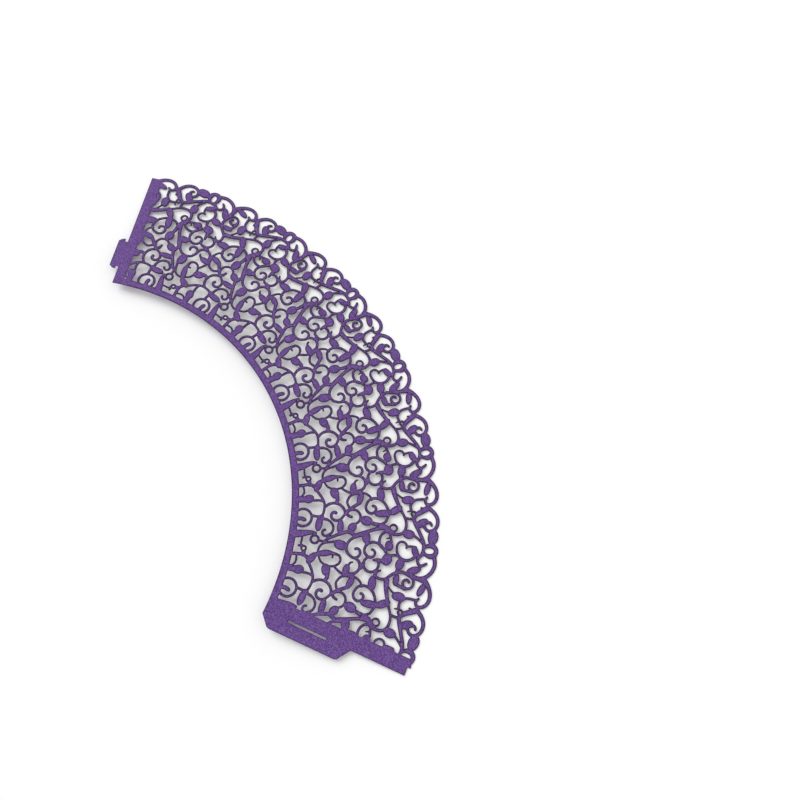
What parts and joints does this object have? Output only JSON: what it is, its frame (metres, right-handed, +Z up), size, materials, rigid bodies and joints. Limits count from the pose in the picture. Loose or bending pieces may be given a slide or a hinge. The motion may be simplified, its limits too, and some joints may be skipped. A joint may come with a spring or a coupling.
{
  "type": "cupcake wrapper",
  "caption": "Flat arc-shaped card sheet with a scalloped rim and a cut-through vine, a slot at one end and a hook at the other, lying unrolled with a slight curl",
  "frame": {"origin": "centre of the sheet's bounding box in plan, on the table that the scalloped rim rests on", "axes": "+X runs along the sheet from the hook end to the slot end, +Y from the short edge to the scalloped rim, +Z up"},
  "size_m": [0.2202, 0.0888, 0.0033],
  "materials": {
    "wrapper_card": "pearlescent purple card, fine speckle, satin sheen"
  },
  "bodies": {
    "root": {"wrapper_sheet": "wrapper_card"}
  },
  "joints": []
}
